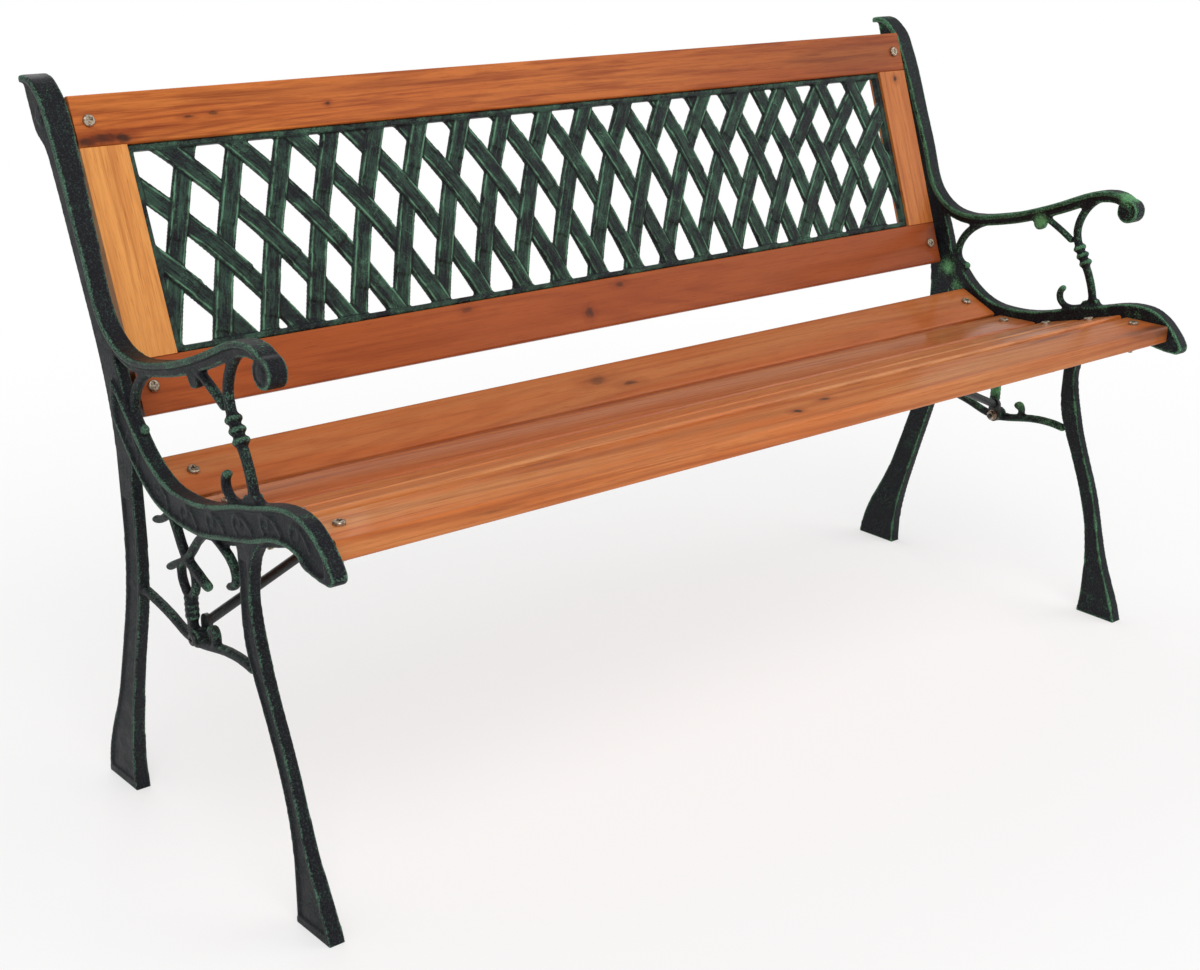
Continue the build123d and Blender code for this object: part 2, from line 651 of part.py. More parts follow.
strap_count = int(panel_half / strap_pitch) + 1
strap_numbers = range(-strap_count + 1, strap_count)
with BuildPart() as lattice_panel:
    with BuildSketch(panel_face.offset(-weave_height)):
        for family in (1, -1):
            for number in strap_numbers:
                with BuildLine():
                    ThreePointArc(*[strap_at(number, share, family) for share in (-0.1, 0.5, 1.1)])
                trace(line_width=strap_width)
        with Locations((0, panel_middle)):
            Rectangle(*panel_size, mode=Mode.INTERSECT)
    extrude(amount=-strap_thickness)
    # rim and tongue
    with BuildSketch(panel_face):
        with Locations((0, panel_middle)):
            Rectangle(*panel_size)
            Rectangle(panel_size[0] - 2 * panel_rim, panel_size[1] - 2 * panel_rim, mode=Mode.SUBTRACT)
    extrude(amount=-panel_thickness)
    with BuildSketch(panel_face.offset(-(panel_thickness - tongue_thickness) / 2)):
        with Locations((0, panel_middle)):
            Rectangle(panel_size[0] + 2 * tongue_depth, panel_size[1] + 2 * tongue_depth)
            Rectangle(panel_size[0] - 2 * panel_rim, panel_size[1] - 2 * panel_rim, mode=Mode.SUBTRACT)
    extrude(amount=-tongue_thickness)
    # passing-over lengths of the straps
    with BuildSketch(panel_face.offset(-weave_height)):
        for first in strap_numbers:
            for second in strap_numbers:
                share = crossing(first, second)
                if not -0.02 < share < 1.02:
                    continue
                family = 1 if (first + second) % 2 == 0 else -1
                number = first if family == 1 else second
                centre = Vector(*strap_at(number, share, family))
                ahead = Vector(*strap_at(number, share + 0.05, family)) - centre
                spacing = strap_pitch * panel_height / (strap_travel(first) + strap_travel(second))
                length = spacing * ahead.length / abs(ahead.Y)
                turn = math.degrees(math.atan2(ahead.Y, ahead.X))
                with Locations(Location((centre.X, centre.Y, 0), (0, 0, turn))):
                    Rectangle(length, strap_width - pad_margin)
        with Locations((0, panel_middle)):
            Rectangle(panel_size[0] - 1.5 * panel_rim, panel_size[1] - 1.5 * panel_rim, mode=Mode.INTERSECT)
    extrude(amount=weave_height - pad_set_back)
lattice_panel.part.label = "lattice_panel"
export_step(lattice_panel.part, "parts/lattice_panel.step")

# ================================================================ seat slats
slat_names = ["rear_seat_slat", "second_seat_slat", "third_seat_slat", "fourth_seat_slat",
              "front_seat_slat"]
brace_slat = 1              # the braces are screwed up into this slat
brace_screw_x = slat_half - brace_reach
brace_screw_share = 0.35    # brace screw place across the slat, from its rear edge


def brace_screw_plane(side, depth):
    """Plane at a brace screw, below the face of the braced slat by depth."""
    base = slat_plane(brace_slat)
    shift = -base.y_dir * (slat_width(brace_slat) * brace_screw_share) - base.z_dir * depth
    origin = base.origin + shift + Vector(side * brace_screw_x, 0, 0)
    return Plane(origin=origin, x_dir=(1, 0, 0), z_dir=base.z_dir)


for index, name in enumerate(slat_names):
    face = slat_plane(index)
    end_section = Plane(origin=face.origin - Vector(slat_half, 0, 0), x_dir=-face.y_dir,
                        z_dir=(-1, 0, 0))
    with BuildPart() as seat_slat:
        with BuildSketch(end_section):
            with Locations((slat_width(index) / 2, -slat_thickness / 2)):
                RectangleRounded(slat_width(index), slat_thickness, slat_round)
        extrude(amount=-2 * slat_half)
        for side in (-1, 1):
            with BuildSketch(slat_bolt_plane(index, side, slat_thickness + 1)):
                Circle(bolt_hole / 2)
            extrude(amount=slat_thickness + 2, mode=Mode.SUBTRACT)
        if index == brace_slat:
            for side in (-1, 1):
                with BuildSketch(brace_screw_plane(side, slat_thickness)):
                    Circle(screw_hole / 2)
                extrude(amount=screw_length - tab_thickness + 1, mode=Mode.SUBTRACT)
    seat_slat.part.label = name
    export_step(seat_slat.part, f"parts/{name}.step")

# ================================================================ brace rods
hub_middle = Vector(mid_web, *at(*hub_at))
tab_face = hub_inner - tab_thickness
rod_start = Vector(hub_inner - tab_thickness / 2, hub_middle.Y, hub_middle.Z + tab_length)
screw_under = brace_screw_plane(1, slat_thickness)
rod_end = screw_under.origin + Vector(tab_length, 0, 0) - screw_under.z_dir * tab_thickness / 2
rod_way = (rod_end - rod_start).normalized()

with BuildPart() as right_brace_rod:
    with BuildSketch(Plane(origin=rod_start, z_dir=rod_way)):
        Circle(rod_diameter / 2)
    extrude(amount=(rod_end - rod_start).length + rod_diameter)
    with BuildSketch(screw_under):
        Rectangle(8 * rod_diameter, 4 * rod_diameter)
    extrude(amount=4 * rod_diameter, mode=Mode.SUBTRACT)
    with BuildSketch(screw_under):
        with Locations((tab_length / 2, 0)):
            SlotCenterToCenter(tab_length, tab_width)
        Circle(screw_hole / 2, mode=Mode.SUBTRACT)
    extrude(amount=-tab_thickness)
    with BuildSketch(Plane.YZ.offset(tab_face)):
        with Locations((hub_middle.Y, hub_middle.Z + tab_length / 2)):
            SlotCenterToCenter(tab_length, tab_width, rotation=90)
        with Locations((hub_middle.Y, hub_middle.Z)):
            Circle(bolt_hole / 2, mode=Mode.SUBTRACT)
    extrude(amount=tab_thickness)
right_brace_rod.part.label = "right_brace_rod"
export_step(right_brace_rod.part, "parts/right_brace_rod.step")

with BuildPart() as left_brace_rod:
    add(mirror(right_brace_rod.part, about=Plane.YZ))
left_brace_rod.part.label = "left_brace_rod"
export_step(left_brace_rod.part, "parts/left_brace_rod.step")


# ================================================================ fasteners
def headed_rod(head_diameter, head_height, diameter, length):
    """Pan head with a cross recess standing on z = 0, with its shank below."""
    with BuildPart() as piece:
        with BuildSketch():
            Circle(head_diameter / 2)
        extrude(amount=head_height)
        fillet(piece.edges().group_by(Axis.Z)[-1], radius=head_height * 0.55)
        with BuildSketch(Plane.XY.offset(head_height)):
            Rectangle(recess_length, recess_width)
            Rectangle(recess_width, recess_length)
        extrude(amount=-recess_depth, mode=Mode.SUBTRACT)
        with BuildSketch():
            Circle(diameter / 2)
        extrude(amount=-length)
        chamfer(piece.edges().group_by(Axis.Z)[0], length=diameter * 0.12)
    return piece.part


def washer():
    """Flat washer under z = 0."""
    with BuildPart() as piece:
        with BuildSketch():
            Circle(washer_diameter / 2)
            Circle(bolt_hole / 2, mode=Mode.SUBTRACT)
        extrude(amount=-washer_thickness)
    return piece.part


def nut():
    """Hexagon nut under z = 0."""
    with BuildPart() as piece:
        with BuildSketch():
            RegularPolygon(nut_across_flats / 2, 6, major_radius=False)
            Circle(bolt_diameter / 2 + joint_clearance / 2, mode=Mode.SUBTRACT)
        extrude(amount=-nut_height)
    return piece.part


def bolt_length(grip):
    """Shank length through the clamped stack, a washer and a nut."""
    return grip + washer_thickness + nut_height + bolt_tail


def ledge_depth(index):
    """Distance from the slat face to the underside of the ledge, square to the slat."""
    return slat_thickness + ledge_thickness * slat_plane(index).z_dir.Z


flat_washer = washer()
hexagon_nut = nut()
sides = (-1, 1)
slat_numbers = range(len(slat_names))
back_bolt_points = (top_point, low_point)
back_grip = rail_thickness + lug_thickness
brace_grip = hub_outer - tab_face
seat_bolt_of_slat = [headed_rod(bolt_head_diameter, bolt_head_height, bolt_diameter,
                                bolt_length(ledge_depth(index))) for index in slat_numbers]
back_bolt = headed_rod(bolt_head_diameter, bolt_head_height, bolt_diameter, bolt_length(back_grip))
brace_bolt = headed_rod(brace_bolt_head_diameter, bolt_head_height, bolt_diameter,
                        bolt_length(brace_grip))
brace_screw = headed_rod(screw_head_diameter, screw_head_height, screw_diameter, screw_length)


def hub_plane(side, inward):
    """Plane at a brace bolt, inward from the outer face of the hub, facing outward."""
    return Plane(origin=(side * (hub_outer - inward), hub_middle.Y, hub_middle.Z), z_dir=(side, 0, 0))


with BuildPart() as seat_bolts:
    for index in slat_numbers:
        with Locations([slat_bolt_plane(index, side, 0) for side in sides]):
            add(seat_bolt_of_slat[index])
seat_bolts.part.label = "seat_bolts"
export_step(seat_bolts.part, "parts/seat_bolts.step")

with BuildPart() as seat_washers:
    for index in slat_numbers:
        with Locations([slat_bolt_plane(index, side, ledge_depth(index)) for side in sides]):
            add(flat_washer)
seat_washers.part.label = "seat_washers"
export_step(seat_washers.part, "parts/seat_washers.step")

with BuildPart() as seat_nuts:
    for index in slat_numbers:
        under_washer = ledge_depth(index) + washer_thickness
        with Locations([slat_bolt_plane(index, side, under_washer) for side in sides]):
            add(hexagon_nut)
seat_nuts.part.label = "seat_nuts"
export_step(seat_nuts.part, "parts/seat_nuts.step")

with BuildPart() as back_bolts:
    with Locations([back_bolt_plane(point, side, 0) for point in back_bolt_points for side in sides]):
        add(back_bolt)
back_bolts.part.label = "back_bolts"
export_step(back_bolts.part, "parts/back_bolts.step")

with BuildPart() as back_washers:
    with Locations([back_bolt_plane(point, side, back_grip)
                    for point in back_bolt_points for side in sides]):
        add(flat_washer)
back_washers.part.label = "back_washers"
export_step(back_washers.part, "parts/back_washers.step")

with BuildPart() as back_nuts:
    with Locations([back_bolt_plane(point, side, back_grip + washer_thickness)
                    for point in back_bolt_points for side in sides]):
        add(hexagon_nut)
back_nuts.part.label = "back_nuts"
export_step(back_nuts.part, "parts/back_nuts.step")

with BuildPart() as brace_bolts:
    with Locations([hub_plane(side, 0) for side in sides]):
        add(brace_bolt)
brace_bolts.part.label = "brace_bolts"
export_step(brace_bolts.part, "parts/brace_bolts.step")

with BuildPart() as brace_washers:
    with Locations([hub_plane(side, brace_grip) for side in sides]):
        add(flat_washer)
brace_washers.part.label = "brace_washers"
export_step(brace_washers.part, "parts/brace_washers.step")

with BuildPart() as brace_nuts:
    with Locations([hub_plane(side, brace_grip + washer_thickness) for side in sides]):
        add(hexagon_nut)
brace_nuts.part.label = "brace_nuts"
export_step(brace_nuts.part, "parts/brace_nuts.step")

with BuildPart() as brace_screws:
    for side in sides:
        screw_place = brace_screw_plane(side, slat_thickness + tab_thickness)
        with Locations(Plane(origin=screw_place.origin, x_dir=(1, 0, 0), z_dir=-screw_place.z_dir)):
            add(brace_screw)
brace_screws.part.label = "brace_screws"
export_step(brace_screws.part, "parts/brace_screws.step")
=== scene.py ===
"""Dresses the garden bench: paint on the castings and the lattice, varnished boards and zinc fixings."""

import logging
from dataclasses import dataclass, field
from enum import Enum
from typing import Any, Iterable, Sequence

import bmesh
import bpy
import numpy as np
from mathutils import Euler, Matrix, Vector


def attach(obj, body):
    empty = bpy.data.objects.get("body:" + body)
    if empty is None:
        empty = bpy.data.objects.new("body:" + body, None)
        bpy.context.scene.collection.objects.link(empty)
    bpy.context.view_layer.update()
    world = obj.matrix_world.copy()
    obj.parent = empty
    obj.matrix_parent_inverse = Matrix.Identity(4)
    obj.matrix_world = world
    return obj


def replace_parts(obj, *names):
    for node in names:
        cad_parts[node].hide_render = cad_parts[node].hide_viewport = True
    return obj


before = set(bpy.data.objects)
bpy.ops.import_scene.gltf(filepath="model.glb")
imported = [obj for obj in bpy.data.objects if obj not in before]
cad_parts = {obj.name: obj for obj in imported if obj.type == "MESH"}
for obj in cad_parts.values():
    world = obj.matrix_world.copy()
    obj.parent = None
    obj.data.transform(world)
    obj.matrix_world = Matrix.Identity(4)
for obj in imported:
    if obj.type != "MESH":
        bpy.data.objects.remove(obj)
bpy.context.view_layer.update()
ROOT = "root"
MM = 0.001
SEAM = 0.002 * MM
WHITE = (1.0, 1.0, 1.0, 1.0)

logging.basicConfig(level=logging.INFO, format="%(message)s")
log = logging.getLogger("bench")

Colour = tuple[float, float, float]
Band = tuple[float, float]
Place = tuple[float, float, float]
Socket = bpy.types.NodeSocket

# Where nearly all of a noise pattern's values lie.
NOISE_BAND: Band = (0.3, 0.7)
# How far a pattern is moved, by axis, for each unit of a board's seed, and from one knot to the next.
SEED_STEP: Place = (1.7, 0.31, 0.53)
KNOT_STEP = 0.3


class Grain(Enum):
    """Which way the grain of a board runs."""

    LENGTHWISE = "lengthwise"
    UPRIGHT = "upright"


class Stain(Enum):
    """The stains of the boards: light, middle and dark colour of each."""

    RED = ((0.66, 0.205, 0.042), (0.55, 0.142, 0.028), (0.20, 0.030, 0.006))
    BROWN = ((0.45, 0.108, 0.024), (0.38, 0.082, 0.018), (0.20, 0.032, 0.007))
    ORANGE = ((0.53, 0.185, 0.056), (0.50, 0.122, 0.024), (0.24, 0.042, 0.008))
    PALE = ((0.63, 0.255, 0.082), (0.62, 0.165, 0.032), (0.28, 0.055, 0.010))
    YELLOW = ((0.80, 0.350, 0.095), (0.68, 0.255, 0.064), (0.40, 0.11, 0.024))
    AMBER = ((0.62, 0.215, 0.056), (0.50, 0.150, 0.036), (0.28, 0.058, 0.012))


@dataclass(frozen=True)
class Noise:
    """A noise pattern: how fine it is, its octaves, the weight of the finer ones, and its twist."""

    scale: float
    detail: float = 4.0
    rough: float = 0.55
    twist: float = 0.0


class Shader:
    """Builds one material's node tree around a Principled shader."""

    def __init__(self, name: str) -> None:
        """Starts an empty material.

        Args:
            name: the material's name.
        """
        self.material = bpy.data.materials.new(name)
        self.material.use_nodes = True
        self.tree = self.material.node_tree
        self.tree.nodes.clear()
        self.surface = self.add("ShaderNodeBsdfPrincipled")
        self.output = self.add("ShaderNodeOutputMaterial")
        self.join(self.surface.outputs["BSDF"], self.output.inputs["Surface"])

    def add(self, kind: str, **settings: Any) -> bpy.types.Node:
        """Adds a node and sets its properties.

        Args:
            kind: the node's type name.
            settings: the node's own properties.

        Returns:
            The new node.
        """
        node = self.tree.nodes.new(kind)
        for key, value in settings.items():
            setattr(node, key, value)
        return node

    def join(self, source: Socket, target: Socket) -> None:
        """Links one socket to another."""
        self.tree.links.new(source, target)

    def feed(self, target: Socket, value: Any) -> None:
        """Gives an input a linked socket or a plain value.

        Args:
            target: the input.
            value: a socket, a number, or a colour of three numbers.
        """
        if isinstance(value, bpy.types.NodeSocket):
            self.join(value, target)
        elif isinstance(value, tuple) and len(value) == 3 and len(target.default_value) == 4:
            target.default_value = (*value, 1.0)
        else:
            target.default_value = value

    def stretch(self, source: Socket, scale: Sequence[float], shift: Sequence[float] = (0, 0, 0)) -> Socket:
        """A vector, stretched and then shifted.

        Args:
            source: the vector.
            scale: the stretch of each axis.
            shift: the shift.

        Returns:
            The vector socket.
        """
        mapping = self.add("ShaderNodeMapping")
        mapping.inputs["Scale"].default_value = scale
        mapping.inputs["Location"].default_value = shift
        self.join(source, mapping.inputs["Vector"])
        return mapping.outputs["Vector"]

    def place(self, scale: Sequence[float] = (1, 1, 1), shift: Sequence[float] = (0, 0, 0)) -> Socket:
        """Object coordinates, stretched and then shifted.

        Args:
            scale: the stretch of each axis.
            shift: the shift.

        Returns:
            The vector socket.
        """
        return self.stretch(self.add("ShaderNodeTexCoord").outputs["Object"], scale, shift)

    def part(self, vector: Socket, axis: str) -> Socket:
        """One coordinate of a vector.

        Args:
            vector: the vector.
            axis: X, Y or Z.

        Returns:
            Its value.
        """
        split = self.add("ShaderNodeSeparateXYZ")
        self.join(vector, split.inputs[0])
        return split.outputs[axis]

    def noise(self, vector: Socket, pattern: Noise) -> Socket:
        """A noise texture.

        Args:
            vector: where it is read.
            pattern: its settings.

        Returns:
            Its value, mostly inside NOISE_BAND.
        """
        node = self.add("ShaderNodeTexNoise")
        node.inputs["Scale"].default_value = pattern.scale
        node.inputs["Detail"].default_value = pattern.detail
        node.inputs["Roughness"].default_value = pattern.rough
        node.inputs["Distortion"].default_value = pattern.twist
        self.join(vector, node.inputs["Vector"])
        return node.outputs["Fac"]

    def span(self, value: Socket, band: Band, start: float = 0.0, end: float = 1.0) -> Socket:
        """A smooth step of a value.

        Args:
            value: the value.
            band: where the step starts and where it ends.
            start: the result below the band.
            end: the result above it.

        Returns:
            The stepped value.
        """
        node = self.add("ShaderNodeMapRange", interpolation_type="SMOOTHSTEP")
        for key, number in zip(("From Min", "From Max", "To Min", "To Max"), (*band, start, end)):
            node.inputs[key].default_value = number
        self.join(value, node.inputs["Value"])
        return node.outputs["Result"]

    def maths(self, kind: str, first: Any, second: Any = 0.0) -> Socket:
        """One step of arithmetic.

        Args:
            kind: the operation.
            first: a socket or a number.
            second: a socket or a number.

        Returns:
            The result.
        """
        node = self.add("ShaderNodeMath", operation=kind)
        self.feed(node.inputs[0], first)
        self.feed(node.inputs[1], second)
        return node.outputs["Value"]

    def weigh(self, *terms: tuple[Socket, float], centre: float = 0.0) -> Socket:
        """Adds values by weight.

        Args:
            terms: pairs of a value and its weight.
            centre: what is taken off the sum.

        Returns:
            The sum.
        """
        total: Any = -centre
        for value, weight in terms:
            node = self.add("ShaderNodeMath", operation="MULTIPLY_ADD")
            self.join(value, node.inputs[0])
            node.inputs[1].default_value = weight
            self.feed(node.inputs[2], total)
            total = node.outputs["Value"]
        return total

    def mix(self, share: Any, first: Any, second: Any) -> Socket:
        """A mix of two colours.

        Args:
            share: how much of the second.
            first: a socket or a colour.
            second: a socket or a colour.

        Returns:
            The mixed colour.
        """
        node = self.add("ShaderNodeMix", data_type="RGBA")
        factor, one, two = (node.inputs[i] for i in (0, 6, 7))
        self.feed(factor, share)
        self.feed(one, first)
        self.feed(two, second)
        return node.outputs[2]

    def attribute(self, name: str) -> Socket:
        """One of the piece's own vertex values."""
        return self.add("ShaderNodeAttribute", attribute_name=name).outputs["Fac"]

    def bump(self, height: Socket, depth: float, under: Socket | None = None) -> Socket:
        """A bump of a given depth in metres.

        Args:
            height: the height, 0 to 1.
            depth: the depth in metres.
            under: a bump to lay this one on.

        Returns:
            The normal.
        """
        node = self.add("ShaderNodeBump")
        node.inputs["Strength"].default_value = 1.0
        node.inputs["Distance"].default_value = depth
        self.join(height, node.inputs["Height"])
        if under is not None:
            self.join(under, node.inputs["Normal"])
        return node.outputs["Normal"]

    def finish(self, colour: Any, rough: Any, normal: Socket | None = None,
               **plain: float) -> bpy.types.Material:
        """Feeds the shader.

        Args:
            colour: its colour.
            rough: its roughness.
            normal: its normal.
            plain: other inputs, by name with _ for a space.

        Returns:
            The finished material.
        """
        self.feed(self.surface.inputs["Base Color"], colour)
        self.feed(self.surface.inputs["Roughness"], rough)
        if normal is not None:
            self.join(normal, self.surface.inputs["Normal"])
        for key, value in plain.items():
            self.surface.inputs[key.replace("_", " ")].default_value = value
        return self.material


@dataclass(frozen=True)
class CastingPaint:
    """Blue-black paint on sand-cast iron with verdigris brushed over what stands out.

    It reads two values that the piece's mesh holds for each vertex: wear, how far the place stands out,
    and rub, how much extra brushing it got. Dust, edges and rubs are each made uneven by a fine and a
    broad pattern, whose weights end in fine and broad here.
    """

    name: str = "casting_paint"
    dark: Colour = (0.0070, 0.0070, 0.0098)
    pale: Colour = (0.030, 0.032, 0.039)
    green: Colour = (0.034, 0.072, 0.052)
    edge: Colour = (0.105, 0.225, 0.145)
    bright: Colour = (0.140, 0.390, 0.165)
    fine: Noise = Noise(620, 4, 0.72)
    broad: Noise = Noise(48, 5, 0.65)
    sand: Noise = Noise(190, 3)
    grit: Band = (0.46, 0.72)
    dust_fine: float = 0.8
    dust_broad: float = 0.4
    dust: Band = (0.62, 0.76)
    dusting: float = 0.6
    line: Band = (0.35, 0.65)
    edge_fine: float = 1.5
    edge_broad: float = 1.2
    edge_middle: float = 1.35
    worn: Band = (0.36, 1.02)
    wearing: float = 0.92
    rub_fine: float = 1.7
    rub_broad: float = 1.5
    rub_middle: float = 1.6
    rubbing: Band = (0.45, 1.25)
    roughness: Band = (0.39, 0.57)
    shine: float = 0.14
    sand_depth: float = 0.35 * MM
    grit_depth: float = 0.22 * MM

    def build(self) -> bpy.types.Material:
        """Makes the material.

        Returns:
            The material.
        """
        s = Shader(self.name)
        place = s.place()
        wear, rub = s.attribute("wear"), s.attribute("rub")
        speck = s.noise(place, self.fine)
        patch = s.noise(place, self.broad)
        colour = s.mix(s.span(speck, self.grit), self.dark, self.pale)
        dusty = s.weigh((speck, self.dust_fine), (patch, self.dust_broad))
        colour = s.mix(s.span(dusty, self.dust, 0.0, self.dusting), colour, self.green)
        colour, ridge = self.dressed(s, colour, patch)
        uneven = s.weigh((patch, self.edge_broad), (speck, self.edge_fine), centre=self.edge_middle)
        edge = s.maths("ADD", wear, uneven)
        line = s.mix(s.span(speck, self.line), self.green, self.edge)
        colour = s.mix(s.span(edge, self.worn, 0.0, self.wearing), colour, line)
        uneven = s.weigh((patch, self.rub_broad), (speck, self.rub_fine), centre=self.rub_middle)
        rubbed = s.maths("ADD", rub, uneven)
        colour = s.mix(s.span(rubbed, self.rubbing), colour, self.bright)
        rough = s.span(patch, NOISE_BAND, *self.roughness)
        coarse = s.bump(s.noise(place, self.sand), self.sand_depth, ridge)
        normal = s.bump(speck, self.grit_depth, coarse)
        return s.finish(colour, rough, normal, Specular_IOR_Level=self.shine)

    def dressed(self, s: Shader, colour: Socket, patch: Socket) -> tuple[Socket, Socket | None]:
        """What else the paint shows: nothing on a plain casting.

        Args:
            s: the shader being built.
            colour: the colour so far.
            patch: broad noise.

        Returns:
            The colour and, if there is one, a bump to build on.
        """
        return colour, None


@dataclass(frozen=True)
class LatticePaint(CastingPaint):
    """The same paint with the brush drawn along the straps of the woven panel.

    Its map, straps, holds how far a place is from its strap's middle line and how far along it, in metres.
    The corner value under holds how far it is from the edge of the strap or rim that passes over; near that
    edge the paint is darkened as painted shade.
    """

    name: str = "lattice_paint"
    green: Colour = (0.044, 0.098, 0.067)
    # edge: the bright line along each strap's raised edges, partly dry-brushed verdigris and partly a painted
    # highlight of the lit edges.
    edge: Colour = (0.125, 0.285, 0.170)
    worn: Band = (0.90, 1.60)
    bristles: Noise = Noise(900, 4, 0.75)
    strokes: Noise = Noise(190, 3, 0.6)
    stroke: float = 0.07
    bristle_weight: float = 0.60
    stroke_weight: float = 0.50
    patch_weight: float = 0.40
    brush: Band = (0.66, 0.90)
    brushed: float = 0.85
    half_width: float = 9.4 * MM
    ridge_rise: Band = (0.66, 0.80)
    ridge_fall: Band = (0.88, 1.0)
    ridge_depth: float = 0.5 * MM
    broken: Band = (0.42, 0.56)
    ridge_cover: float = 0.95
    # Painted shade beside a strap or rim that passes over: full strength up to the band's first distance,
    # gone beyond its second, at the strength below.
    painted_shade_band: Band = (0.3 * MM, 3.2 * MM)
    shade: float = 0.9

    def dressed(self, s: Shader, colour: Socket, patch: Socket) -> tuple[Socket, Socket | None]:
        """Brush marks, a bright line near each strap's edges that is partly dry-brushed verdigris and partly
        painted highlight, and painted shade where a strap goes under another strap or the rim.

        Args:
            s: the shader being built.
            colour: the colour so far.
            patch: broad noise.

        Returns:
            The colour and the bump of the straps' raised edges.
        """
        strap = s.add("ShaderNodeUVMap", uv_map="straps").outputs["UV"]
        along = s.stretch(strap, (1.0, self.stroke, 1.0))
        lines = s.noise(along, self.bristles)
        broad = s.noise(along, self.strokes)
        marks = s.weigh((lines, self.bristle_weight), (broad, self.stroke_weight), (patch, self.patch_weight))
        colour = s.mix(s.span(marks, self.brush, 0.0, self.brushed), colour, self.green)
        away = s.maths("ABSOLUTE", s.part(strap, "X"))
        rise, fall = (tuple(share * self.half_width for share in band)
                      for band in (self.ridge_rise, self.ridge_fall))
        ridge = s.maths("MULTIPLY", s.span(away, rise), s.span(away, fall, 1.0, 0.0))
        gaps = s.span(s.weigh((lines, 0.5), (patch, 0.5)), self.broken, 0.0, self.ridge_cover)
        # The bright line on the strap ridges: partly verdigris caught by the brush, partly a painted
        # highlight of the lit edges.
        colour = s.mix(s.maths("MULTIPLY", ridge, gaps), colour, self.edge)
        # Painted shade: darkens a strap where it goes under the edge of another strap or the rim.
        under = s.span(s.attribute("under"), self.painted_shade_band, self.shade, 0.0)
        colour = s.mix(under, colour, self.dark)
        return colour, s.bump(ridge, self.ridge_depth)


@dataclass(frozen=True)
class Knot:
    """A knot or a dark mark in a board: its centre and radius in millimetres, how many times longer it is
    along the grain, and how dark it is."""

    at: Place
    radius: float
    drawn: float = 1.8
    depth: float = 0.9


